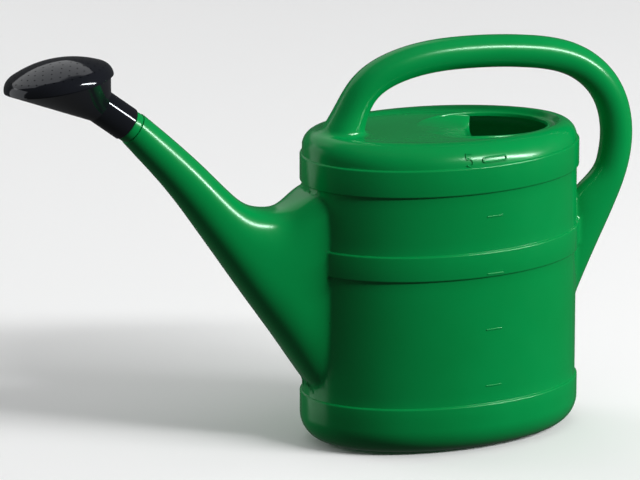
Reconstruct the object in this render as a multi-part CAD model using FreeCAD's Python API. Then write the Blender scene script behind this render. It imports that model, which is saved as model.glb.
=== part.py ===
# Five-litre garden watering can: one hollow green moulding and a black two-piece rose
# that pushes onto the neck of its spout. The moulding is written as base, tank, shoulder,
# spout, neck and handle, which meet face to face, and the rose's back as socket and funnel.
# Millimetres. +Z up, the spout points to -X, the handle to +X, symmetry plane Y = 0
# apart from the rose, which stands slightly turned on the neck.
# Origin: centre of the tank's base, on the surface that the can stands on.
import FreeCAD, Part
import math
import os

from FreeCAD import Vector

# ---- driving dimensions ------------------------------------------------------------
WALL = 1.8                      # wall of the green moulding
TANK_A = 107.0                  # half-length of the oval tank
TANK_B = 69.4                   # half-width of the oval tank
CREST_Z = 236.9                 # height of the shoulder's crest above the origin
CREST_TILT = 1.5                # degrees that the crest falls towards the handle
SHOULDER_R = 15.0
BASE_R = 21.5
BASE_PUSH_UP = 2.5              # hollow under the base, inside the standing ring
FOOT_WIDTH = 26.0               # from the tank's side to the push-up
DECK_Z = 232.6                  # height of the deck at the middle of the mouth
DECK_TILT = 2.8                 # the deck falls more than the crest, so it is deepest at the back
DECK_INSET = 17.5               # deck's edge in from the tank's side
DECK_EDGE_R = 1.5
BAND_PROUD = 1.7
BAND_EDGE_R = 0.8
BANDS = ((136.5, 155.8), (200.9, 221.6))
BOTTOM_BAND_TOP = 38.4
BASE_TOP = 42.0                 # the moulding's base, tank and shoulder meet on level planes
SHOULDER_LOW = 197.5

MOUTH_X = 33.8                  # centre of the filling mouth
MOUTH_A = 51.0
MOUTH_B = 34.3
LIP_WIDTH = 1.6
LIP_HEIGHT = 1.2                # above the deck
RAMP_END_X = 29.0               # the mouth's front part is a ramp down into the tank
RAMP_SLOPE = 17.0
RAMP_DEPTH = 24.0               # deeper than the ramp's foot

LITRE_STEP = 43.5               # height of one litre in the tank
LITRE_FIVE_Z = 226.0
LITRE_X = 16.0
LITRE_MARK = (12.7, 1.3, 0.5)   # length, height, how far it stands out

NECK_ANGLE = 37.7               # of the neck above the horizontal, towards -X
NECK_FOOT = (-241.8, 257.1)     # x, z where the neck's collar leaves the spout
SPOUT_TIP_R = 12.6
COLLAR_R = 12.0
COLLAR_LENGTH = 6.2
NECK_R = 10.8
NECK_LENGTH = 24.0              # beyond the collar, inside the rose's socket
NECK_BORE_R = 8.8

SOCKET_R = 12.85
SOCKET_CLEARANCE = 0.05         # running fit on the neck, per side
SOCKET_GAP = 0.3                # between the collar's step and the socket's end
SOCKET_LENGTH = 26.0
ROSE_WALL = 1.8
RIM_CENTRE = (-298.8, 297.2)    # x, z of the middle of the rose's rim
FACE_TILT = 8.0                 # of the face's axis from the vertical, towards -X
ROSE_TURN = 7.0                 # turn of the rose on the neck
RIM_R = 40.5
SHELL_RIM_R = 38.2
SEAM = 0.3                      # gap between the face's edge and the shell's
SHELL_EDGE = 1.3                # straight edge of the shell, under the face
FACE_HEIGHT = 17.0              # of the dome above the rim
FACE_DOME_R = 79.0
FACE_EDGE_R = 9.5
FACE_WALL = 1.6
SKIRT_DEPTH = 1.0               # of the face's skirt inside the shell
SKIRT_CLEARANCE = 0.3
HOLE_R = 0.6
# radius of each ring of holes in the face, and how many holes it has
HOLE_RINGS = ((36.0, 34), (31.0, 30), (25.5, 24), (20.0, 18), (14.5, 12), (9.0, 8), (3.5, 3))

HANDLE_R = 12.2
HANDLE_FLARE = 5.0              # extra radius where the handle meets the shoulder
HANDLE_FLARE_LENGTH = 22.0
HANDLE_STATIONS = 28
HANDLE_WEB = 9.0                # how much deeper the tube gets, inwards, where it meets the back
HANDLE_WEB_Z = (198.0, 158.0)   # heights where the web starts and where it is full
# x, z of the handle's centre line, from the front root over the top to the tank's back
HANDLE_LINE = (
    (-82.0, 226.0), (-73.5, 247.5), (-60.5, 270.0), (-30.0, 285.7), (20.0, 290.3), (70.0, 286.4),
    (108.6, 275.4), (133.6, 252.0), (142.9, 213.0), (134.7, 177.5), (116.4, 137.7), (95.0, 90.7),
)

# Sections of the spout, from the tip to the tank: the top point (x, z), the keel point (x, z),
# the half-width, and the exponent of the oval (2 is an ellipse, more is flatter flanks).
SPOUT_SECTIONS = (
    ((-234.1, 267.1), (-249.5, 247.1), 12.6, 2.0),
    ((-222.5, 256.6), (-238.5, 234.3), 13.2, 2.0),
    ((-204.0, 239.3), (-222.5, 215.4), 14.4, 2.05),
    ((-184.5, 219.7), (-207.0, 195.0), 16.0, 2.1),
    ((-168.0, 202.2), (-194.0, 176.2), 18.2, 2.2),
    ((-154.5, 191.0), (-176.0, 149.7), 20.6, 2.35),
    ((-139.5, 186.2), (-152.0, 114.3), 23.0, 2.5),
    ((-124.0, 187.4), (-128.5, 80.2), 25.2, 2.6),
    ((-108.0, 196.2), (-106.0, 47.0), 27.0, 2.7),
    ((-93.0, 201.5), (-88.0, 24.6), 27.6, 2.7),
)
SECTION_POINTS = 28

UP = Vector(0, 0, 1)
TALL = 400.0                    # longer than anything that it cuts


# ---- shared shapes -----------------------------------------------------------------
def oval_prism(a, b, low, high, centre_x=0.0):
    """Upright prism on an ellipse with half-axes a (along X) and b (along Y)."""
    edge = Part.Ellipse(Vector(centre_x, 0, low), a, b).toShape()
    return Part.Face(Part.Wire(edge)).extrude(Vector(0, 0, high - low))


def edges_at(shape, test):
    """Long edges whose middle passes the test."""
    found = []
    for edge in shape.Edges:
        middle = edge.valueAt((edge.FirstParameter + edge.LastParameter) / 2)
        if edge.Length > TANK_B and test(middle):
            found.append(edge)
    return found


def half_space(x, z, tilt, above):
    """Everything above or below the plane through (x, z) that falls by tilt towards +X."""
    low = z if above else z - TALL
    block = Part.makeBox(2 * TALL, 2 * TALL, TALL, Vector(x - TALL, -TALL, low))
    block.rotate(Vector(x, 0, z), Vector(0, 1, 0), tilt)
    return block


def deck_half_space(drop, above):
    return half_space(MOUTH_X, DECK_Z - drop, DECK_TILT, above)


def oval_ring(top, keel, half_width, exponent, inset):
    """Closed smooth section through top and keel, square to the plane Y = 0."""
    top = Vector(top[0], 0, top[1])
    keel = Vector(keel[0], 0, keel[1])
    centre = (top + keel) * 0.5
    half = (top - keel) * 0.5
    tall = half.Length - inset
    wide = half_width - inset
    half.normalize()
    points = []
    for i in range(SECTION_POINTS):
        angle = 2 * math.pi * i / SECTION_POINTS
        c, s = math.cos(angle), math.sin(angle)
        across = math.copysign(abs(s) ** (2 / exponent), s) * wide
        along = math.copysign(abs(c) ** (2 / exponent), c) * tall
        points.append(centre + half * along + Vector(0, across, 0))
    return smooth_ring(points)


def smooth_ring(points):
    curve = Part.BSplineCurve()
    curve.interpolate(Points=points, PeriodicFlag=True)
    return Part.Wire(curve.toShape())


def loft(wires):
    solid = Part.makeLoft(wires, True, False)
    if solid.Volume < 0:
        solid.reverse()
    return solid


def revolve(points_and_arcs):
    """Solid of revolution about Z from a closed outline of edges in the XZ plane."""
    face = Part.Face(Part.Wire(points_and_arcs))
    return face.revolve(Vector(0, 0, 0), UP, 360)


def polyline(points):
    """Edges through (r, z) points in the XZ plane."""
    corners = [Vector(r, 0, z) for r, z in points]
    return [Part.LineSegment(a, b).toShape() for a, b in zip(corners, corners[1:])]


# ---- tank --------------------------------------------------------------------------
def near_top(point):
    return point.z > CREST_Z - 20


def tank_outside():
    """The closed outside of the tank: oval body, rounded base and shoulder, three bands."""
    body = oval_prism(TANK_A, TANK_B, 0, CREST_Z + 30)
    body = body.common(half_space(0, CREST_Z, CREST_TILT, False))
    body = body.makeFillet(SHOULDER_R, edges_at(body, near_top))
    body = body.makeFillet(BASE_R, edges_at(body, lambda p: p.z < 1))
    a, b = TANK_A + BAND_PROUD, TANK_B + BAND_PROUD
    foot = oval_prism(a, b, 0, BOTTOM_BAND_TOP)
    foot = foot.makeFillet(BASE_R, edges_at(foot, lambda p: p.z < 1))
    foot = foot.makeFillet(BAND_EDGE_R, edges_at(foot, lambda p: p.z > BOTTOM_BAND_TOP - 1))
    bands = [foot]
    for low, high in BANDS:
        band = oval_prism(a, b, low, high)
        bands.append(band.makeFillet(BAND_EDGE_R, edges_at(band, lambda p: True)))
    return body.fuse(bands).removeSplitter()


def tank_inside():
    """The tank's cavity, closed: the same oval, one wall in, below the deck."""
    a, b = TANK_A - WALL, TANK_B - WALL
    floor = BASE_PUSH_UP + WALL
    cavity = oval_prism(a, b, floor, CREST_Z + 30).common(deck_half_space(WALL, False))
    cavity = cavity.makeFillet(SHOULDER_R - WALL, edges_at(cavity, near_top))
    return cavity.makeFillet(BASE_R - floor, edges_at(cavity, lambda p: p.z < floor + 1))


def deck_recess():
    """The shallow oval basin that the deck makes inside the shoulder's crest."""
    basin = oval_prism(TANK_A - DECK_INSET, TANK_B - DECK_INSET, DECK_Z - 30, TALL)
    basin = basin.common(deck_half_space(0, True))
    return basin.makeFillet(DECK_EDGE_R, edges_at(basin, lambda p: p.z < CREST_Z + 20))


def mouth_prism(grow, low, high):
    """Prism on the mouth's oval, square to the deck, from low to high above the deck."""
    prism = oval_prism(MOUTH_A + grow, MOUTH_B + grow, DECK_Z + low, DECK_Z + high, MOUTH_X)
    prism.rotate(Vector(MOUTH_X, 0, DECK_Z), Vector(0, 1, 0), DECK_TILT)
    return prism


def above_ramp(drop):
    """Everything above the ramp's plane, lowered by drop."""
    start_z = DECK_Z + MOUTH_A * math.sin(math.radians(DECK_TILT))
    return half_space(MOUTH_X - MOUTH_A, start_z - drop, DECK_TILT + RAMP_SLOPE, True)


def mouth_ramp():
    """The mouth's front part leads down into the tank as a chute with side walls."""
    outside = mouth_prism(WALL, -RAMP_DEPTH, 0).common(above_ramp(WALL))
    inside = mouth_prism(0, -RAMP_DEPTH - 1, 5).common(above_ramp(0))
    front = Part.makeBox(TALL, TALL, 2 * TALL, Vector(RAMP_END_X - TALL, -TALL / 2, 0))
    return outside.cut(inside).common(front)


def mouth_lip():
    lip = mouth_prism(LIP_WIDTH, -WALL / 2, LIP_HEIGHT).cut(mouth_prism(0, -5, 5))
    return lip.makeFillet(LIP_WIDTH * 0.3, edges_at(lip, on_lip_top))


def on_lip_top(point):
    fall = (point.x - MOUTH_X) * math.tan(math.radians(DECK_TILT))
    return point.z > DECK_Z + LIP_HEIGHT / 2 - fall


def side_at(z):
    """How far the tank's near side stands out of the plain oval at height z."""
    if any(low < z < high for low, high in BANDS):
        return BAND_PROUD
    rise = max(0.0, z - (CREST_Z - SHOULDER_R))
    return math.sqrt(SHOULDER_R ** 2 - rise ** 2) - SHOULDER_R


def litre_marks():
    """Raised scale marks on the near side, one per litre."""
    length, height, proud = LITRE_MARK
    marks = []
    for litre in range(1, 6):
        z = LITRE_FIVE_Z - (5 - litre) * LITRE_STEP
        grow = proud + side_at(z)
        shell = oval_prism(TANK_A + grow, TANK_B + grow, z - height / 2, z + height / 2)
        shell = shell.cut(oval_prism(TANK_A + grow - WALL, TANK_B + grow - WALL, z - height, z + height))
        window = Part.makeBox(length, TANK_B, 2 * height, Vector(LITRE_X - length / 2, -TANK_B - 5, z - height))
        marks.append(shell.common(window))
    return marks


def make_tank(outside, spout_hollow, handle_hollow):
    """The tank's whole shell, in its three level parts: base, side wall and shoulder."""
    tank = outside.cut(tank_inside())
    push_up = oval_prism(TANK_A - FOOT_WIDTH, TANK_B - FOOT_WIDTH, -1, BASE_PUSH_UP)
    tank = tank.cut([deck_recess(), push_up, mouth_prism(0, -10, 10)])
    tank = tank.fuse([mouth_lip(), mouth_ramp()] + litre_marks())
    tank = tank.cut([spout_hollow, handle_hollow])
    low, high = half_space(0, BASE_TOP, 0, False), half_space(0, SHOULDER_LOW, 0, True)
    return tank.common(low), tank.cut([low, high]), tank.common(high)


# ---- spout -------------------------------------------------------------------------
def neck_frame():
    """Placement whose Z axis runs up the neck, with its origin where the collar starts."""
    turn = FreeCAD.Rotation(Vector(0, 1, 0), -(90 - NECK_ANGLE))
    return FreeCAD.Placement(Vector(NECK_FOOT[0], 0, NECK_FOOT[1]), turn)


def spout_body(inset):
    return loft([oval_ring(top, keel, w, n, inset) for top, keel, w, n in SPOUT_SECTIONS])


def spout_neck():
    """Collar and thinner neck, overlapping the spout's tip by one wall."""
    collar = Part.makeCylinder(COLLAR_R, COLLAR_LENGTH + WALL, Vector(0, 0, -WALL))
    neck = Part.makeCylinder(NECK_R, NECK_LENGTH, Vector(0, 0, COLLAR_LENGTH))
    rim = max(neck.Edges, key=lambda e: e.CenterOfMass.z)
    neck = neck.makeFillet(0.8, [rim])
    solid = collar.fuse(neck).removeSplitter()
    solid.Placement = neck_frame()
    return solid


def neck_bore():
    bore = Part.makeCylinder(NECK_BORE_R, COLLAR_LENGTH + NECK_LENGTH + 12, Vector(0, 0, -8))
    bore.Placement = neck_frame()
    return bore


def make_spout(outside, hollow):
    """The spout's shell and its neck, which meet where the collar starts."""
    body = spout_body(0).cut([hollow, neck_bore()]).cut(outside)
    neck = spout_neck().cut(neck_bore()).cut(spout_body(0))
    return body, neck


# ---- handle ------------------------------------------------------------------------
def handle_ring(centre, along, run, inset):
    """Oval section of the handle: round, flared at the front root, deeper at the back."""
    flare = HANDLE_FLARE * math.exp(-(run / HANDLE_FLARE_LENGTH) ** 2)
    start, full = HANDLE_WEB_Z
    rise = 0.0
    if centre.x > 0:
        rise = min(1.0, max(0.0, (start - centre.z) / (start - full)))
    web = HANDLE_WEB * rise * rise * (3 - 2 * rise)
    wide = HANDLE_R + flare - inset
    inwards = Vector(0, 1, 0).cross(along)
    inwards.normalize()
    middle = centre + inwards * web
    deep = wide + web
    points = []
    for i in range(SECTION_POINTS):
        angle = 2 * math.pi * i / SECTION_POINTS
        points.append(middle + inwards * (deep * math.cos(angle)) + Vector(0, wide * math.sin(angle), 0))
    return smooth_ring(points)


def handle_body(inset):
    """Tube along the handle's line, from inside the shoulder to inside the tank's back."""
    line = Part.BSplineCurve()
    line.interpolate([Vector(x, 0, z) for x, z in HANDLE_LINE])
    length = line.length()
    wires = []
    for i in range(HANDLE_STATIONS):
        run = length * i / (HANDLE_STATIONS - 1)
        at = line.parameterAtDistance(run)
        wires.append(handle_ring(line.value(at), line.tangent(at)[0], run, inset))
    return loft(wires)


def make_handle(outside, hollow):
    handle = handle_body(0).cut(hollow).cut(outside)
    return max(handle.Solids, key=lambda s: s.Volume)


# ---- rose --------------------------------------------------------------------------
def rim_frame():
    """Placement at the rose's rim whose Z axis is the face's axis."""
    turn = FreeCAD.Rotation(Vector(0, 1, 0), -FACE_TILT)
    return FreeCAD.Placement(Vector(RIM_CENTRE[0], 0, RIM_CENTRE[1]), turn)


def turned(shape):
    """Turn a rose piece on the neck to where it stands."""
    frame = neck_frame()
    shape.rotate(frame.Base, frame.Rotation.multVec(UP), ROSE_TURN)
    return shape


def circle_wire(frame, radius, height):
    centre = frame.multVec(Vector(0, 0, height))
    return Part.Wire(Part.Circle(centre, frame.Rotation.multVec(UP), radius).toShape())


def funnel(inset):
    """Slanted funnel from the end of the socket to the rim."""
    neck, rim = neck_frame(), rim_frame()
    end = COLLAR_LENGTH + SOCKET_GAP + SOCKET_LENGTH
    wires = [circle_wire(neck, SOCKET_R - inset, end), circle_wire(rim, SHELL_RIM_R - inset, -SHELL_EDGE)]
    cone = Part.makeLoft(wires, True, True)
    collar = Part.makeCylinder(SHELL_RIM_R - inset, SHELL_EDGE - SEAM, Vector(0, 0, -SHELL_EDGE))
    collar.Placement = rim.multiply(collar.Placement)
    return cone.fuse(collar)


def make_rose_back():
    """Socket that pushes onto the neck, and the funnel that carries the face, as two shapes."""
    start = COLLAR_LENGTH + SOCKET_GAP
    socket = Part.makeCylinder(SOCKET_R, SOCKET_LENGTH, Vector(0, 0, start))
    mouth = min(socket.Edges, key=lambda e: e.CenterOfMass.z)
    socket = socket.makeFillet(0.9, [mouth])
    fit = NECK_R + SOCKET_CLEARANCE
    bore = Part.makeCylinder(fit, SOCKET_LENGTH + 2, Vector(0, 0, start - 1))
    for piece in (socket, bore):
        piece.Placement = neck_frame()
    rim_cut = Part.makeCylinder(SHELL_RIM_R - ROSE_WALL, 2 * SHELL_EDGE, Vector(0, 0, -SHELL_EDGE - 0.1))
    rim_cut.Placement = rim_frame().multiply(rim_cut.Placement)
    shell = funnel(0).cut([funnel(ROSE_WALL), rim_cut, bore])
    return turned(socket.cut([bore, funnel(0)])), turned(shell)


def dome(edge_r, radius, height, rim_r):
    """Solid cap: vertical edge, rounded rim, then a shallow sphere."""
    ball_z = height - radius
    bend_z = ball_z + math.sqrt((radius - edge_r) ** 2 - (rim_r - edge_r) ** 2)
    bend = Vector(rim_r - edge_r, 0, bend_z)
    out = bend - Vector(0, 0, ball_z)
    out.normalize()
    meet = bend + out * edge_r
    middle = Vector(1, 0, 0) + out
    middle.normalize()
    half_way = math.asin(meet.x / radius) / 2
    crown = Vector(radius * math.sin(half_way), 0, ball_z + radius * math.cos(half_way))
    top = Vector(0, 0, height)
    outline = polyline([(0, height), (0, 0), (rim_r, 0), (rim_r, bend_z)])
    outline.append(Part.Arc(Vector(rim_r, 0, bend_z), bend + middle * edge_r, meet).toShape())
    outline.append(Part.Arc(meet, crown, top).toShape())
    return revolve(outline)


def face_holes():
    holes = []
    for ring_r, count in HOLE_RINGS:
        for i in range(count):
            angle = 2 * math.pi * (i + 0.5 * (count % 2)) / count
            slope = math.asin(ring_r / FACE_DOME_R)
            out = Vector(math.cos(angle), math.sin(angle), 0)
            axis = out * math.sin(slope) + UP * math.cos(slope)
            start = out * ring_r + UP * (FACE_HEIGHT - FACE_DOME_R + FACE_DOME_R * math.cos(slope))
            holes.append(Part.makeCylinder(HOLE_R, 4 * FACE_WALL, start - axis * 2.5 * FACE_WALL, axis))
    return holes


def make_rose_face():
    """Perforated dome with a skirt that plugs into the shell."""
    outer = dome(FACE_EDGE_R, FACE_DOME_R, FACE_HEIGHT, RIM_R)
    inner = dome(FACE_EDGE_R - FACE_WALL, FACE_DOME_R - FACE_WALL, FACE_HEIGHT - FACE_WALL, RIM_R - FACE_WALL)
    skirt_r = SHELL_RIM_R - ROSE_WALL - SKIRT_CLEARANCE
    skirt = Part.makeCylinder(skirt_r, SKIRT_DEPTH + 2, Vector(0, 0, -SKIRT_DEPTH))
    ledge = Part.makeCylinder(RIM_R - FACE_WALL / 2, FACE_WALL, Vector(0, 0, 0))
    hollow = Part.makeCylinder(skirt_r - FACE_WALL, SKIRT_DEPTH + 3, Vector(0, 0, -SKIRT_DEPTH - 0.5))
    face = outer.cut(inner).fuse([skirt.cut(hollow), ledge.cut(hollow)]).removeSplitter()
    face = face.cut(face_holes())
    face.Placement = rim_frame()
    return turned(face)


# ---- write -------------------------------------------------------------------------
def main():
    outside = tank_outside()
    spout_hollow = spout_body(WALL)
    handle_hollow = handle_body(WALL)
    base, tank, shoulder = make_tank(outside, spout_hollow, handle_hollow)
    spout, neck = make_spout(outside, spout_hollow)
    socket, shell = make_rose_back()
    nodes = {
        "base": base,
        "tank": tank,
        "shoulder": shoulder,
        "spout": spout,
        "neck": neck,
        "handle": make_handle(outside, handle_hollow),
        "rose_socket": socket,
        "rose_funnel": shell,
        "rose_face": make_rose_face(),
    }
    os.makedirs("parts", exist_ok=True)
    for name, shape in nodes.items():
        solids = shape.Solids
        box = shape.BoundBox
        print(name, "solids", len(solids), "valid", shape.isValid(), "cm3 %.1f" % (shape.Volume / 1000),
              "x %.1f..%.1f y %.1f..%.1f z %.1f..%.1f" % (box.XMin, box.XMax, box.YMin, box.YMax, box.ZMin, box.ZMax))
        solid = solids[0] if len(solids) == 1 else shape
        solid.exportStep("parts/%s.step" % name)


main()
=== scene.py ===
"""Looks of the watering can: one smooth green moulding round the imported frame, a black rose,
procedural plastics, a pale floor and soft studio light.

Shapes are worked out in millimetres on the frame's axes (Z up, spout to -X, handle to +X), and
turned into metres when a mesh is made.
"""

import math

import bmesh
import bpy
import numpy as np
from mathutils import Matrix, Vector
from mathutils.bvhtree import BVHTree


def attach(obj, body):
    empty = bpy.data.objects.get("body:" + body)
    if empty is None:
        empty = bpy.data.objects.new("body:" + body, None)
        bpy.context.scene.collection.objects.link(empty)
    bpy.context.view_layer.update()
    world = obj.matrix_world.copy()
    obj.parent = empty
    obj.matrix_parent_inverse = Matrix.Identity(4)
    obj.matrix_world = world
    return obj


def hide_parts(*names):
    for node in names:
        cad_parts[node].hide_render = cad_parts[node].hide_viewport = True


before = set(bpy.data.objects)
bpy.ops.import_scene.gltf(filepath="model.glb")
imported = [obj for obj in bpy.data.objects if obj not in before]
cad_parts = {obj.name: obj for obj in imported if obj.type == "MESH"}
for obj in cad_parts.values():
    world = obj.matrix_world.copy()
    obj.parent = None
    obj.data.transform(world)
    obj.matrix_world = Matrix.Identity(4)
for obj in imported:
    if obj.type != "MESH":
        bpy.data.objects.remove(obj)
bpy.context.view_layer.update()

MM = 0.001

# ---- sizes shared with the CAD source, in mm ---------------------------------------
WALL = 1.8
TANK_A = 107.0
TANK_B = 69.4
CREST_Z = 236.9
CREST_TILT = math.radians(1.5)
SHOULDER_R = 15.0
BASE_R = 21.5
BASE_PUSH_UP = 2.5
FOOT_WIDTH = 26.0
DECK_Z = 232.6
DECK_TILT = math.radians(2.8)
BAND_PROUD = 1.699
BAND_EDGE_R = 1.2
BANDS = ((136.5, 155.8), (200.9, 221.6))
BOTTOM_BAND_TOP = 38.4

MOUTH_X = 33.8
MOUTH_A = 51.0
MOUTH_B = 34.3
LIP_HEIGHT = 1.2
RAMP_END_X = 38.0               # where the ramp's edge meets the sides of the mouth
RAMP_DROP = 8.5
RAMP_HOLLOW = 9.0               # how far the ramp's edge is drawn back in the middle

LITRE_STEP = 43.5
LITRE_FIVE_Z = 226.0
LITRE_X = 16.0
LITRE_LENGTH = 12.7

NECK_ANGLE = math.radians(37.7)
NECK_FOOT = np.array((-241.8, 0.0, 257.1))
COLLAR_R = 12.0
COLLAR_LENGTH = 6.2
NECK_R = 10.8
NECK_LENGTH = 24.0
NECK_BORE_R = 8.8

HANDLE_R = 12.2
HANDLE_FLARE = 5.0
HANDLE_FLARE_LENGTH = 22.0
HANDLE_WEB = 6.0                # the web fills the corner between the handle's foot and the tank
HANDLE_WEB_Z = (193.0, 158.0)   # height where the web starts and where it is full
# centre line (x, z) from the front root to the back root
HANDLE_LINE = (
    (-82.0, 226.0), (-73.5, 247.5), (-60.5, 270.0), (-30.0, 285.7), (20.0, 290.3), (70.0, 286.4),
    (108.6, 275.4), (133.6, 252.0), (142.9, 213.0), (134.7, 177.5), (116.4, 137.7), (95.0, 90.7),
)
# top point (x, z), keel point (x, z), half-width, exponent of the oval's lower and upper half
SPOUT_SECTIONS = (
    ((-234.1, 267.1), (-249.5, 247.1), 12.6, 2.0, 2.0),
    ((-222.5, 256.6), (-238.5, 234.3), 13.2, 2.0, 2.0),
    ((-204.0, 239.3), (-222.5, 215.4), 14.4, 2.05, 2.05),
    ((-184.5, 219.7), (-207.0, 195.0), 16.0, 2.1, 2.1),
    ((-168.0, 202.2), (-194.0, 176.2), 18.2, 2.2, 2.2),
    ((-154.5, 191.0), (-176.0, 149.7), 20.6, 2.35, 2.35),
    ((-139.5, 186.2), (-152.0, 114.3), 23.0, 2.5, 2.7),
    ((-124.0, 187.4), (-128.5, 80.2), 25.2, 2.7, 3.6),
    ((-108.0, 196.2), (-106.0, 47.0), 27.0, 3.1, 5.4),
    ((-93.0, 201.5), (-88.0, 24.6), 27.6, 3.3, 6.4),
)

# ---- sizes of the finer detail, in mm ----------------------------------------------
AROUND = 240                    # points round the tank
COVE = 0.5                      # small fillet beside a raised band
SHOULDER_R_SIDE = 18.0          # the shoulder's rounding at the flanks and at the ends
SHOULDER_R_END = 12.0
BASE_STEPS = 14                 # steps along the rounding of the base
CAVITY_STEPS = 8                # steps along each rounding and along the wall, inside the tank
DECK_STEPS = 14                 # steps across the deck, above and below
UNDER_DECK_STEPS = 10
DECK_EDGE = 4.2                 # the crest rolls over this far, down to the deck
DECK_EDGE_FLAT = 0.6            # level strip before it does
LIP_FADE = (-8.0, 24.0)         # x where the lip starts to rise and where it is full
SKIRT_MIN = 1.6                 # depth of the mouth's wall at the back
RAMP_CURL = 2.2                 # the ramp's last stretch curls down by this much
RAMP_CURL_FROM = 0.86           # share of the ramp where the curl starts
RAMP_SAG = 0.18                 # share of the ramp's drop that comes late, so that it is a scoop
MOUTH_EDGE_ROUND = 0.3          # how far the rounded lower edge reaches below the skirt
# (distance out from the mouth's edge, share of the lip's height)
LIP_SHAPE = (
    (2.6, 0.0), (1.9, 0.08), (1.6, 0.35), (1.45, 0.75), (1.15, 0.97), (0.8, 1.0), (0.45, 0.95), (0.15, 0.7),
    (0, 0.3),
)
# (distance out from the push-up's edge, height) down to the standing ring
FOOT_SHAPE = ((1.4, BASE_PUSH_UP - 0.4), (2.6, 0.7), (3.6, 0.15), (4.6, 0.0))
SPOUT_RINGS = 90
SPOUT_POINTS = 104
HANDLE_RINGS = 120
HANDLE_POINTS = 60

SPOUT_BLEND = 1.7               # how wide the spout and the handle blend into the tank
HANDLE_BLEND = 4.5
BLEND_MARGIN = 1.15             # the mesh is refined a little further out than the blend
BLEND_MERGE = 0.25              # points closer than this become one
BLEND_TURNS = 8
BLEND_RELAX = 0.6               # share of the way a point moves to the middle of its neighbours
FLATTEST_SLOPE = 0.2            # keeps a step short where the two slopes nearly cancel
ON_SURFACE = 1e-7               # metres: nearer than this, the surface's own normal is used

MARK_PROUD = 0.46
MARK_HALF = 0.65                # half the width of a mark's stroke
MARK_POINTS = 10                # points round a stroke
SIGN_PROUD = 0.9                # the slot and the figure on the shoulder stand out more
SLOT_HALF = 8.2
SLOT_R = 1.5
FIVE_AT = (-20.5, 0.4)          # the figure's middle, from the middle of the slot
FIVE_BOWL_AT = (-0.1, -1.2)     # its bowl, from the figure's middle
FIVE_BOWL_R = 2.6

# ---- plastics ----------------------------------------------------------------------
GREEN = {
    "dark": (0.0, 0.242, 0.05, 1),
    "light": (0.0, 0.265, 0.058, 1),
    "rough": (0.19, 0.25),
    "bump": (0.006, 0.006),
    "specular": 0.5,
    "tint": (0.7, 1, 0.8, 1),
}
BLACK = {
    "dark": (0.005, 0.006, 0.008, 1),
    "light": (0.009, 0.01, 0.014, 1),
    "rough": (0.06, 0.11),
    "bump": (0.006, 0.01),
    "specular": 0.6,
    "tint": (0.9, 0.95, 1, 1),
}
GREEN_SHARP = 32                # degrees between faces above which an edge stays sharp
BLACK_SHARP = 30


# ---- small helpers -----------------------------------------------------------------
def smoothstep(value, low, high):
    t = np.clip((value - low) / (high - low), 0.0, 1.0)
    return t * t * (3 - 2 * t)


def natural_spline(knots, values, at):
    """Natural cubic spline through values at knots, read at the places in at."""
    knots, values = np.asarray(knots, float), np.asarray(values, float)
    count = len(knots)
    gaps = np.diff(knots)
    system = np.eye(count)
    right = np.zeros(count)
    for i in range(1, count - 1):
        system[i, i - 1], system[i, i + 1] = gaps[i - 1], gaps[i]
        system[i, i] = 2 * (gaps[i - 1] + gaps[i])
        after, before = (values[i + 1] - values[i]) / gaps[i], (values[i] - values[i - 1]) / gaps[i - 1]
        right[i] = 6 * (after - before)
    bend = np.linalg.solve(system, right)
    i = np.clip(np.searchsorted(knots, at) - 1, 0, count - 2)
    h, a, b = gaps[i], knots[i + 1] - at, at - knots[i]
    cubic = (bend[i] * a ** 3 + bend[i + 1] * b ** 3) / (6 * h)
    return cubic + (values[i] / h - bend[i] * h / 6) * a + (values[i + 1] / h - bend[i + 1] * h / 6) * b


def even_ellipse(a, b, count):
    """Angles of points spaced evenly along an ellipse."""
    fine = np.linspace(0, 2 * math.pi, 4001)
    steps = np.hypot(np.diff(a * np.cos(fine)), np.diff(b * np.sin(fine)))
    run = np.concatenate(([0], np.cumsum(steps)))
    return np.interp(np.arange(count) * run[-1] / count, run, fine)


def mesh_from_rings(name, rings, looped=False):
    """Closed mesh through equal rings of points: looped, or capped by a fan at each end."""
    count = len(rings[0])
    points = list(rings)
    faces = []
    for r in range(len(rings) if looped else len(rings) - 1):
        low, high = r * count, (r + 1) % len(rings) * count
        for i in range(count):
            j = (i + 1) % count
            faces.append((low + i, low + j, high + j, high + i))
    if not looped:
        points += [rings[0].mean(0), rings[-1].mean(0)]
        first, last = len(rings) * count, len(rings) * count + 1
        base = (len(rings) - 1) * count
        for i in range(count):
            j = (i + 1) % count
            faces.append((j, i, first))
            faces.append((base + i, base + j, last))
    mesh = bpy.data.meshes.new(name)
    mesh.from_pydata((np.vstack(points) * MM).tolist(), [], faces)
    obj = bpy.data.objects.new(name, mesh)
    bpy.context.scene.collection.objects.link(obj)
    with_bmesh(obj, lambda bm: bmesh.ops.recalc_face_normals(bm, faces=bm.faces))
    return obj


def with_bmesh(obj, work):
    """Let work edit the object's mesh."""
    bm = bmesh.new()
    bm.from_mesh(obj.data)
    work(bm)
    bm.to_mesh(obj.data)
    bm.free()


def combine(obj, tool, operation):
    """Boolean of two closed meshes; the tool is used up."""
    step = obj.modifiers.new("combine", "BOOLEAN")
    step.operation, step.object, step.solver = operation, tool, "MANIFOLD"
    done = obj.evaluated_get(bpy.context.evaluated_depsgraph_get())
    mesh = bpy.data.meshes.new_from_object(done)
    obj.modifiers.clear()
    obj.data = mesh
    bpy.data.objects.remove(tool)
    return obj


def tree_of(obj):
    points = [v.co.copy() for v in obj.data.vertices]
    return BVHTree.FromPolygons(points, [tuple(p.vertices) for p in obj.data.polygons])


# ---- tank --------------------------------------------------------------------------
ANGLE = even_ellipse(TANK_A, TANK_B, AROUND)
COS, SIN = np.cos(ANGLE), np.sin(ANGLE)


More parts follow.
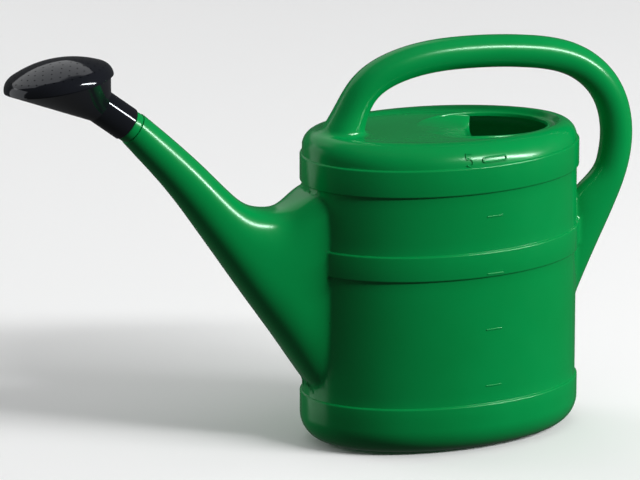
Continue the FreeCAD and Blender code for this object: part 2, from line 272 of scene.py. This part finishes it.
def ring(out, z):
    """Ring round the tank, out from its plain side by out, at height z."""
    return np.column_stack(((TANK_A + out) * COS, (TANK_B + out) * SIN, np.broadcast_to(z, AROUND)))


def crest_at(x):
    """Height of the crest, which slopes towards the handle."""
    return CREST_Z - x * math.tan(CREST_TILT)


def deck_at(x):
    """Height of the deck, which slopes a little more."""
    return DECK_Z - (x - MOUTH_X) * math.tan(DECK_TILT)


def corner(out, z, turn_out, turn_z, rises, steps=4):
    """Quarter turn that starts at (out, z) going up when rises, and otherwise going outwards."""
    points = []
    for i in range(steps + 1):
        t = math.pi / 2 * i / steps
        along, across = math.sin(t), 1 - math.cos(t)
        if rises:
            points.append((out + turn_out * across, z + turn_z * along))
        else:
            points.append((out + turn_out * along, z + turn_z * across))
    return points


def upright(low, high, out, step=9.0):
    """Points between low and high on a straight stretch, about a step apart, without its ends."""
    count = max(1, round((high - low) / step))
    return [(out, low + (high - low) * i / count) for i in range(1, count)]


def band_foot(low):
    """Lower edge of a band: a small fillet out of the wall, then the band's own rounding."""
    fillet = corner(0, low - COVE, COVE, COVE, True)
    return fillet + corner(BAND_PROUD - BAND_EDGE_R, low, BAND_EDGE_R, BAND_EDGE_R, False)


def band_head(high):
    """Upper edge of a band, back to the wall."""
    fillet = corner(COVE, high, -COVE, COVE, False)
    return corner(BAND_PROUD, high - BAND_EDGE_R, -BAND_EDGE_R, BAND_EDGE_R, True) + fillet


def side_profile():
    """(out, z) up the tank's side from the standing ring to the top band."""
    points = []
    centre = BAND_PROUD - BASE_R
    for i in range(BASE_STEPS + 1):
        t = math.pi / 2 * i / BASE_STEPS
        points.append((centre + BASE_R * math.sin(t), BASE_R * (1 - math.cos(t))))
    points += upright(BASE_R, BOTTOM_BAND_TOP - BAND_EDGE_R, BAND_PROUD)
    points += band_head(BOTTOM_BAND_TOP)
    level = BOTTOM_BAND_TOP + COVE
    for low, high in BANDS:
        points += upright(level, low - COVE, 0)
        points += band_foot(low)
        points += upright(low + BAND_EDGE_R, high - BAND_EDGE_R, BAND_PROUD)
        points += band_head(high)
        level = high + COVE
    return points[:-1]


SHOULDER = SHOULDER_R_SIDE + (SHOULDER_R_END - SHOULDER_R_SIDE) * COS ** 4


def shoulder_rings(steps=14):
    """From the top band over the rounded shoulder to the crest."""
    low = BANDS[-1][1]
    start = np.arcsin(np.clip((low - crest_at(TANK_A * COS) + SHOULDER) / SHOULDER, 0, 1))
    rings = []
    for i in range(steps + 1):
        turn = start + (math.pi / 2 - start) * i / steps
        out = -SHOULDER * (1 - np.cos(turn))
        z = crest_at((TANK_A + out) * COS) - SHOULDER * (1 - np.sin(turn))
        rings.append(ring(out, z))
    return rings


def crest_rings():
    """The crest's inner edge rolls down to the deck."""
    rings = []
    for t in (0.12, 0.25, 0.38, 0.5, 0.62, 0.75, 0.88, 1.0):
        out = -SHOULDER - DECK_EDGE_FLAT - DECK_EDGE * t
        x = (TANK_A + out) * COS
        rings.append(ring(out, crest_at(x) + (deck_at(x) - crest_at(x)) * smoothstep(t, 0, 1)))
    return rings


def mouth_ring(grow, rise):
    """Ring round the filling mouth, grown outwards, and raised above the deck."""
    x = MOUTH_X + (MOUTH_A + grow) * COS
    return np.column_stack((x, (MOUTH_B + grow) * SIN, deck_at(x) + rise))


def lip_rings():
    """Low rounded lip, which fades out into the deck at the mouth's front."""
    height = LIP_HEIGHT * smoothstep(MOUTH_X + MOUTH_A * COS, *LIP_FADE)
    return [mouth_ring(grow, height * part) for grow, part in LIP_SHAPE]


def mouth_rings(grow, drop):
    """From the mouth's edge inwards: a ramp at the front, and an upright wall at the back.

    With grow and drop they are the underside, that far out and down from the upper side.
    """
    edge_x = MOUTH_X + (MOUTH_A + grow) * COS
    inner_x = np.maximum(edge_x, RAMP_END_X - RAMP_HOLLOW * COS ** 2)
    front = np.where(COS < 0, 1 - SIN ** 4, 0)
    depth = SKIRT_MIN + (RAMP_DROP - SKIRT_MIN) * front
    rings = []
    for t in (0.03, 0.08, 0.15, 0.25, 0.36, 0.48, 0.6, 0.71, 0.8, 0.87, 0.92, 0.96, 0.985, 1.0):
        x = edge_x + (inner_x - edge_x) * t
        curl = RAMP_CURL * max(0.0, (t - RAMP_CURL_FROM) / (1 - RAMP_CURL_FROM)) ** 2
        fall = (1 - RAMP_SAG) * t + RAMP_SAG * t * t
        z = deck_at(x) - depth * fall - (curl + drop) * front
        if drop:
            z = np.minimum(z, deck_at(x) - drop)
        rings.append(np.column_stack((x, (MOUTH_B + grow) * SIN, z)))
    return rings


def cavity_rings(inset):
    """The space inside the tank, from under the deck down to the floor."""
    radius = SHOULDER_R - inset
    rings = []
    for i in range(CAVITY_STEPS + 1):
        turn = math.pi / 2 * (1 - i / CAVITY_STEPS)
        out = -inset - radius * (1 - math.cos(turn))
        x = (TANK_A + out) * COS
        rings.append(ring(out, deck_at(x) - inset - radius * (1 - math.sin(turn))))
    floor = BASE_PUSH_UP + inset
    radius = BASE_R - floor
    start = rings[-1][:, 2]
    for t in np.linspace(0, 1, CAVITY_STEPS + 1)[1:-1]:
        rings.append(ring(-inset, start + (floor + radius - start) * t))
    for i in range(CAVITY_STEPS + 1):
        turn = math.pi / 2 * i / CAVITY_STEPS
        rings.append(ring(-inset - radius * (1 - math.cos(turn)), floor + radius * (1 - math.sin(turn))))
    for share in (0.7, 0.35):
        rings.append(rings[-1] * (share, share, 1))
    return rings


def between(outer, inner, steps):
    """Rings spaced evenly between two others."""
    return [outer + (inner - outer) * i / steps for i in range(1, steps)]


def tank_shell():
    """The tank's outside, in through the mouth, and the tank's inside, as one closed skin."""
    inner = -FOOT_WIDTH
    push_up = ring(inner, BASE_PUSH_UP)
    rings = [push_up * (share, share, 1) for share in (0.3, 0.65)] + [push_up]
    rings += [ring(inner + out, z) for out, z in FOOT_SHAPE]
    rings += [ring(out, z) for out, z in side_profile()]
    rings += shoulder_rings() + crest_rings()
    lip = lip_rings()
    rings += between(rings[-1], lip[0], DECK_STEPS) + lip
    rings += mouth_rings(0, 0)
    under = mouth_rings(WALL, WALL)[::-1]
    turn = (rings[-1] + under[0]) / 2
    turn[:, 2] -= MOUTH_EDGE_ROUND
    cavity = cavity_rings(WALL)
    rings += [turn] + under + between(under[-1], cavity[0], UNDER_DECK_STEPS) + cavity
    return mesh_from_rings("moulding", rings)


def tank_core(inset):
    """The tank as a closed solid, inset from its outside."""
    cavity = cavity_rings(inset)
    lid = [cavity[0] * (share, share, 1) for share in (0.4, 0.8)]
    for lid_ring in lid:
        lid_ring[:, 2] = deck_at(lid_ring[:, 0]) - inset
    return mesh_from_rings("core", lid + cavity)


# ---- spout -------------------------------------------------------------------------
def spout_rings(inset, count=SPOUT_RINGS, around=SPOUT_POINTS):
    """Rings along the spout from its tip to inside the tank, inset from its outside."""
    tops = np.array([section[0] for section in SPOUT_SECTIONS])
    keels = np.array([section[1] for section in SPOUT_SECTIONS])
    shape = np.array([section[2:] for section in SPOUT_SECTIONS])
    middles = (tops + keels) / 2
    knots = np.concatenate(([0], np.cumsum(np.hypot(*np.diff(middles, axis=0).T))))
    at = np.linspace(0, knots[-1], count)
    columns = np.column_stack((tops, keels, shape))
    top_x, top_z, keel_x, keel_z, wide, lower, upper = (natural_spline(knots, c, at) for c in columns.T)
    turn = np.arange(around) * 2 * math.pi / around
    cos, sin = np.cos(turn), np.sin(turn)
    rings = []
    for i in range(count):
        middle = np.array((top_x[i] + keel_x[i], 0, top_z[i] + keel_z[i])) / 2
        half = np.array((top_x[i] - keel_x[i], 0, top_z[i] - keel_z[i])) / 2
        tall = np.linalg.norm(half)
        up = half / tall * (tall - inset)
        power = 2 / np.where(cos > 0, upper[i], lower[i])
        across = np.sign(sin) * np.abs(sin) ** power * (wide[i] - inset)
        along = np.sign(cos) * np.abs(cos) ** power
        rings.append(middle + np.outer(along, up) + np.outer(across, (0, 1, 0)))
    return rings


def neck_axes():
    """Unit vectors along the neck, and across it in the middle plane."""
    along = np.array((-math.cos(NECK_ANGLE), 0, math.sin(NECK_ANGLE)))
    across = np.array((math.sin(NECK_ANGLE), 0, math.cos(NECK_ANGLE)))
    return along, across


def neck_lathe(profile, count=96):
    """Rings round the neck's axis from (radius, distance along the neck) pairs."""
    along, across = neck_axes()
    turn = np.arange(count) * 2 * math.pi / count
    circle = np.outer(np.cos(turn), across) + np.outer(np.sin(turn), (0, 1, 0))
    return [NECK_FOOT + circle * radius + along * run for radius, run in profile]


def neck_piece():
    """Collar with a groove under it, and the round neck, which starts inside the spout's tip."""
    groove_r, step, end = COLLAR_R - 0.5, COLLAR_LENGTH, COLLAR_LENGTH + NECK_LENGTH
    profile = (
        (NECK_R, -4.0), (groove_r, -3.5), (groove_r, 0.35), (COLLAR_R - 0.1, 0.55), (COLLAR_R, 0.9),
        (COLLAR_R, step - 0.5), (COLLAR_R - 0.15, step - 0.12), (COLLAR_R - 0.5, step), (NECK_R, step),
        (NECK_R, end - 0.8), (NECK_R - 0.25, end - 0.2), (NECK_R - 0.8, end),
    )
    return mesh_from_rings("neck", neck_lathe(profile))


def bore_piece():
    """Cutter for the bore, past both ends of the neck."""
    profile = ((NECK_BORE_R, -8), (NECK_BORE_R, COLLAR_LENGTH + NECK_LENGTH + 6))
    return mesh_from_rings("bore", neck_lathe(profile))


# ---- handle ------------------------------------------------------------------------
def handle_rings():
    """Rings along the handle, flared at its front root and webbed at its back root."""
    line = np.array(HANDLE_LINE)
    knots = np.concatenate(([0], np.cumsum(np.hypot(*np.diff(line, axis=0).T))))
    at = np.linspace(0, knots[-1], HANDLE_RINGS)
    x, z = natural_spline(knots, line[:, 0], at), natural_spline(knots, line[:, 1], at)
    step = np.gradient(np.column_stack((x, z)), axis=0)
    step /= np.hypot(*step.T)[:, None]
    turn = np.arange(HANDLE_POINTS) * 2 * math.pi / HANDLE_POINTS
    flare = HANDLE_FLARE * np.exp(-(at / HANDLE_FLARE_LENGTH) ** 2)
    web = HANDLE_WEB * np.where(x > 0, 1 - smoothstep(z, HANDLE_WEB_Z[1], HANDLE_WEB_Z[0]), 0)
    rings = []
    for i in range(HANDLE_RINGS):
        inwards = np.array((step[i, 1], 0, -step[i, 0]))
        wide = HANDLE_R + flare[i]
        middle = np.array((x[i], 0, z[i])) + inwards * web[i]
        oval = np.outer(np.cos(turn), inwards) * (wide + web[i]) + np.outer(np.sin(turn), (0, wide, 0))
        rings.append(middle + oval)
    return rings


# ---- litre marks -------------------------------------------------------------------
def side_out(z):
    """How far the tank's side stands out of its plain oval at height z."""
    if any(low < z < high for low, high in BANDS):
        return BAND_PROUD
    rise = max(0.0, z - (CREST_Z - SHOULDER_R_SIDE))
    return math.sqrt(SHOULDER_R_SIDE ** 2 - rise ** 2) - SHOULDER_R_SIDE


def on_side(x, z, out):
    """Point on the tank's near side."""
    grow = side_out(z) + out
    return np.array((x, -(TANK_B + grow) * math.sqrt(1 - (x / (TANK_A + grow)) ** 2), z))


def stroke(path, proud=MARK_PROUD, closed=False):
    """Rings of a raised rounded stroke along (x, z) points on the near side."""
    points = [np.array(p, float) for p in path]
    rings = []
    count = len(points)
    for i in range(count):
        before, after = points[max(i - 1, 0)], points[min(i + 1, count - 1)]
        if closed:
            before, after = points[i - 1], points[(i + 1) % count]
        run = (after - before) / np.linalg.norm(after - before)
        side = np.array((-run[1], run[0]))
        ring_points = []
        for k in range(MARK_POINTS):
            turn = 2 * math.pi * k / MARK_POINTS
            at = points[i] + side * MARK_HALF * math.cos(turn)
            ring_points.append(on_side(at[0], at[1], proud * math.sin(turn)))
        rings.append(np.array(ring_points))
    return rings


def arc(centre, radius, start, end, steps):
    """(x, z) points along an arc, from start to end in degrees."""
    turns = np.radians(np.linspace(start, end, steps))
    return [(centre[0] + radius * math.cos(t), centre[1] + radius * math.sin(t)) for t in turns]


def figure_five():
    """(x, z) points along the figure 5: its top bar, its upright and its bowl."""
    x, z = LITRE_X + FIVE_AT[0], LITRE_FIVE_Z + FIVE_AT[1]
    bar = [(x + 2.6, z + 4.7), (x + 0.4, z + 4.7), (x - 1.8, z + 4.7)]
    upright_stroke = [(x - 2.1, z + 2.9), (x - 2.3, z + 1.2)]
    bowl = arc((x + FIVE_BOWL_AT[0], z + FIVE_BOWL_AT[1]), FIVE_BOWL_R, 118, -140, 14)
    return bar + upright_stroke + bowl


def litre_marks():
    """A tick at each litre from 1 to 4, and the slot and the figure at 5."""
    marks = []
    for litre in range(1, 5):
        z = LITRE_FIVE_Z - (5 - litre) * LITRE_STEP
        low, high = LITRE_X - LITRE_LENGTH / 2, LITRE_X + LITRE_LENGTH / 2
        marks.append(mesh_from_rings("tick", stroke([(x, z) for x in np.linspace(low, high, 8)])))
    right_end = arc((LITRE_X + SLOT_HALF, LITRE_FIVE_Z), SLOT_R, -90, 90, 9)
    left_end = arc((LITRE_X - SLOT_HALF, LITRE_FIVE_Z), SLOT_R, 90, 270, 9)
    slot = stroke(right_end + left_end, SIGN_PROUD, closed=True)
    marks.append(mesh_from_rings("slot", slot, looped=True))
    marks.append(mesh_from_rings("five", stroke(figure_five(), SIGN_PROUD)))
    return marks


# ---- blending the roots ------------------------------------------------------------
def signed(tree, point):
    """Distance from a surface, negative inside it, and the direction straight away from it."""
    place, normal, index, distance = tree.find_nearest(point)
    way = point - place
    side = -1 if way.dot(normal) < 0 else 1
    return side * distance, way.normalized() * side if distance > ON_SURFACE else normal


def blended(tank, part, point, width):
    """Value and slope of a smooth union of two surfaces at a point."""
    a, slope_a = signed(tank, point)
    b, slope_b = signed(part, point)
    share = min(1.0, max(0.0, 0.5 + 0.5 * (b - a) / width))
    value = b + (a - b) * share - width * share * (1 - share)
    return value, slope_a * share + slope_b * (1 - share)


def blend_roots(obj, tank, part, width):
    """Round off the crease where a part leaves the tank."""
    reach = width * MM

    def near_both(vert, room):
        if part.find_nearest(vert.co, room)[0] is None or tank.find_nearest(vert.co, room)[0] is None:
            return False
        return signed(tank, vert.co)[0] > -WALL * MM / 2

    def work(bm):
        for finest in (width / 2, width / 3, width / 4):
            marked = {v for v in bm.verts if near_both(v, reach * BLEND_MARGIN)}
            bmesh.ops.triangulate(bm, faces=[f for f in bm.faces if not marked.isdisjoint(f.verts)])
            edges = [e for e in bm.edges if marked.issuperset(e.verts) and e.calc_length() > finest * MM]
            bmesh.ops.subdivide_edges(bm, edges=edges, cuts=1)
        close = [v for v in bm.verts if near_both(v, reach)]
        bmesh.ops.remove_doubles(bm, verts=close, dist=BLEND_MERGE * MM)
        marked = {v for v in bm.verts if near_both(v, reach)}
        bmesh.ops.triangulate(bm, faces=[f for f in bm.faces if not marked.isdisjoint(f.verts)])
        for turn in range(BLEND_TURNS):
            target = {}
            for v in marked:
                around = [e.other_vert(v).co for e in v.link_edges]
                target[v] = v.co * (1 - BLEND_RELAX) + sum(around, Vector()) * (BLEND_RELAX / len(around))
            for v, place in target.items():
                value, slope = blended(tank, part, place, reach)
                v.co = place - slope * (value / max(slope.length_squared, FLATTEST_SLOPE))

    with_bmesh(obj, work)


# ---- materials ---------------------------------------------------------------------
def node(tree, kind, **values):
    """New node, with each value given to its input or setting of that name."""
    made = tree.nodes.new(kind)
    for name, value in values.items():
        if name in made.inputs:
            made.inputs[name].default_value = value
        else:
            setattr(made, name, value)
    return made


def noise(tree, scale, detail=2.0, rough=0.5):
    """Noise that stays put on the object."""
    place = node(tree, "ShaderNodeTexCoord")
    made = node(tree, "ShaderNodeTexNoise", Scale=scale, Detail=detail, Roughness=rough)
    tree.links.new(place.outputs["Object"], made.inputs["Vector"])
    return made.outputs["Fac"]


def spread(tree, source, low, high):
    """Stretch the middle of a noise over the range from low to high."""
    ends = {"From Min": 0.3, "From Max": 0.7, "To Min": low, "To Max": high}
    made = node(tree, "ShaderNodeMapRange", **ends)
    tree.links.new(source, made.inputs["Value"])
    return made.outputs["Result"]


def plastic(name, dark, light, rough, bump, specular, tint):
    """Moulded plastic: slow colour drift, uneven gloss, faint ripple and fine grain."""
    material = bpy.data.materials.new(name)
    material.use_nodes = True
    tree = material.node_tree
    shader = tree.nodes["Principled BSDF"]
    shader.inputs["Specular IOR Level"].default_value = specular
    shader.inputs["Specular Tint"].default_value = tint
    mix = node(tree, "ShaderNodeMix", data_type="RGBA")
    mix.inputs["A"].default_value = dark
    mix.inputs["B"].default_value = light
    tree.links.new(spread(tree, noise(tree, 14, 3.0), 0, 1), mix.inputs["Factor"])
    tree.links.new(mix.outputs["Result"], shader.inputs["Base Color"])
    tree.links.new(spread(tree, noise(tree, 60, 4.0, 0.6), *rough), shader.inputs["Roughness"])
    ripple = node(tree, "ShaderNodeBump", Strength=bump[0], Distance=0.002)
    tree.links.new(noise(tree, 45, 1.0), ripple.inputs["Height"])
    grain = node(tree, "ShaderNodeBump", Strength=bump[1], Distance=0.0002)
    tree.links.new(noise(tree, 1400, 3.0), grain.inputs["Height"])
    tree.links.new(ripple.outputs["Normal"], grain.inputs["Normal"])
    tree.links.new(grain.outputs["Normal"], shader.inputs["Normal"])
    return material


def smooth(obj, angle):
    """Smooth shading, with edges sharper than angle, in degrees, left sharp."""
    for polygon in obj.data.polygons:
        polygon.use_smooth = True
    obj.data.set_sharp_from_angle(angle=math.radians(angle))


# ---- the object --------------------------------------------------------------------
def green_moulding():
    """Tank, spout, neck, handle and marks in one skin. The roots are blended last."""
    body = tank_shell()
    tank = tree_of(body)
    spout = mesh_from_rings("spout_outside", spout_rings(0))
    handle = mesh_from_rings("handle_outside", handle_rings())
    spout_tree, handle_tree = tree_of(spout), tree_of(handle)
    combine(spout, tank_core(WALL / 2), "DIFFERENCE")
    combine(handle, tank_core(WALL / 2), "DIFFERENCE")
    combine(body, spout, "UNION")
    combine(body, handle, "UNION")
    combine(body, mesh_from_rings("hollow", spout_rings(WALL, 40, 56)), "DIFFERENCE")
    combine(body, neck_piece(), "UNION")
    combine(body, bore_piece(), "DIFFERENCE")
    for mark in litre_marks():
        combine(body, mark, "UNION")
    blend_roots(body, tank, spout_tree, SPOUT_BLEND)
    blend_roots(body, tank, handle_tree, HANDLE_BLEND)
    with_bmesh(body, lambda bm: bmesh.ops.dissolve_degenerate(bm, edges=bm.edges, dist=1e-6))
    body.data.validate()
    smooth(body, GREEN_SHARP)
    body.data.materials.clear()
    body.data.materials.append(plastic("green_plastic", **GREEN))
    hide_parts("base", "tank", "shoulder", "spout", "neck", "handle")
    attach(body, "can")
    return body


def black_rose():
    """The rose keeps its shapes from the frame."""
    black = plastic("black_plastic", **BLACK)
    for name in ("rose_socket", "rose_funnel", "rose_face"):
        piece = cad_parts[name]
        piece.data.materials.clear()
        piece.data.materials.append(black)
        smooth(piece, BLACK_SHARP)


# ---- camera, light and floor -------------------------------------------------------
CAMERA_AZIMUTH = math.radians(-21.2)
CAMERA_ELEVATION = math.radians(16.24)
CAMERA_DISTANCE = 4.6788
CAMERA_TARGET = Vector((-0.0936, 0.0057, 0.1555))
CAMERA_LENS = 354.5             # mm on a 36 mm wide sensor
LIGHTS_AIM = Vector((0, 0, 0.16))
FLOOR_HALF = 6.0                # metres


def camera():
    away = Vector(
        (
            math.sin(CAMERA_AZIMUTH) * math.cos(CAMERA_ELEVATION),
            -math.cos(CAMERA_AZIMUTH) * math.cos(CAMERA_ELEVATION),
            math.sin(CAMERA_ELEVATION),
        )
    )
    data = bpy.data.cameras.new("camera")
    data.lens, data.sensor_width = CAMERA_LENS, 36.0
    data.clip_end = 50
    obj = bpy.data.objects.new("camera", data)
    obj.location = CAMERA_TARGET + away * CAMERA_DISTANCE
    obj.rotation_euler = away.to_track_quat("Z", "Y").to_euler()
    bpy.context.scene.collection.objects.link(obj)
    bpy.context.scene.camera = obj


def softbox(name, direction, distance, size, power, long_way=(0, 0, 1), mirrored=True):
    """Rectangular light aimed at the tank, with its first side along long_way.

    One that isn't mirrored lights the object but doesn't show in its gloss.
    """
    data = bpy.data.lights.new(name, "AREA")
    data.shape = "RECTANGLE"
    data.size, data.size_y = size
    data.energy = power
    obj = bpy.data.objects.new(name, data)
    towards = Vector(direction).normalized()
    across = towards.cross(Vector(long_way)).normalized()
    obj.location = LIGHTS_AIM + towards * distance
    obj.rotation_euler = Matrix((across.cross(towards), across, towards)).transposed().to_euler()
    obj.visible_glossy = mirrored
    bpy.context.scene.collection.objects.link(obj)


def light_through_the_wall():
    """Weak lamp inside the tank, for the daylight that comes through its thin plastic."""
    data = bpy.data.lights.new("through_the_wall", "POINT")
    data.energy, data.color, data.shadow_soft_size = 0.05, (0.8, 1, 1), 0.03
    obj = bpy.data.objects.new("through_the_wall", data)
    obj.location = (0.03, 0, 0.12)
    obj.visible_camera = obj.visible_glossy = False
    bpy.context.scene.collection.objects.link(obj)


def studio():
    softbox("key", (0.61, -0.60, 0.46), 4.0, (2.9, 0.32), 190, (-0.46, -0.2, 0.4))
    softbox("fill", (0.97, -0.3, 0.3), 4.0, (3.0, 3.0), 38, mirrored=False)
    softbox("left", (-0.86, 0.44, 0.02), 3.0, (2.6, 2.4), 15)
    softbox("left_soft", (-0.7, 0.7, 0.1), 3.0, (2.0, 2.0), 45, mirrored=False)
    softbox("overhead", (0.0, -0.1, 1.0), 4.0, (4.0, 4.0), 45, mirrored=False)
    softbox("sky", (-0.25, 0.75, 0.7), 4.0, (3.0, 5.0), 32)
    light_through_the_wall()
    world = bpy.data.worlds.new("studio")
    world.use_nodes = True
    background = world.node_tree.nodes["Background"]
    background.inputs["Color"].default_value = (0.95, 0.98, 1.0, 1)
    background.inputs["Strength"].default_value = 0.07
    bpy.context.scene.world = world
    bpy.context.scene.view_settings.view_transform = "Standard"


def floor():
    """Pale floor, kept out of the object's own light so that it doesn't wash out the green."""
    mesh = bpy.data.meshes.new("floor")
    half = FLOOR_HALF
    corners = [(-half, -half, 0), (half, -half, 0), (half, half, 0), (-half, half, 0)]
    mesh.from_pydata(corners, [], [(0, 1, 2, 3)])
    obj = bpy.data.objects.new("floor", mesh)
    bpy.context.scene.collection.objects.link(obj)
    material = bpy.data.materials.new("floor")
    material.use_nodes = True
    shader = material.node_tree.nodes["Principled BSDF"]
    shader.inputs["Base Color"].default_value = (0.9, 0.9, 0.9, 1)
    shader.inputs["Roughness"].default_value = 0.9
    shader.inputs["Specular IOR Level"].default_value = 0.1
    mesh.materials.append(material)
    obj.visible_diffuse = False
    obj.visible_glossy = False


def build_scene():
    green_moulding()
    black_rose()
    camera()
    studio()
    floor()


build_scene()
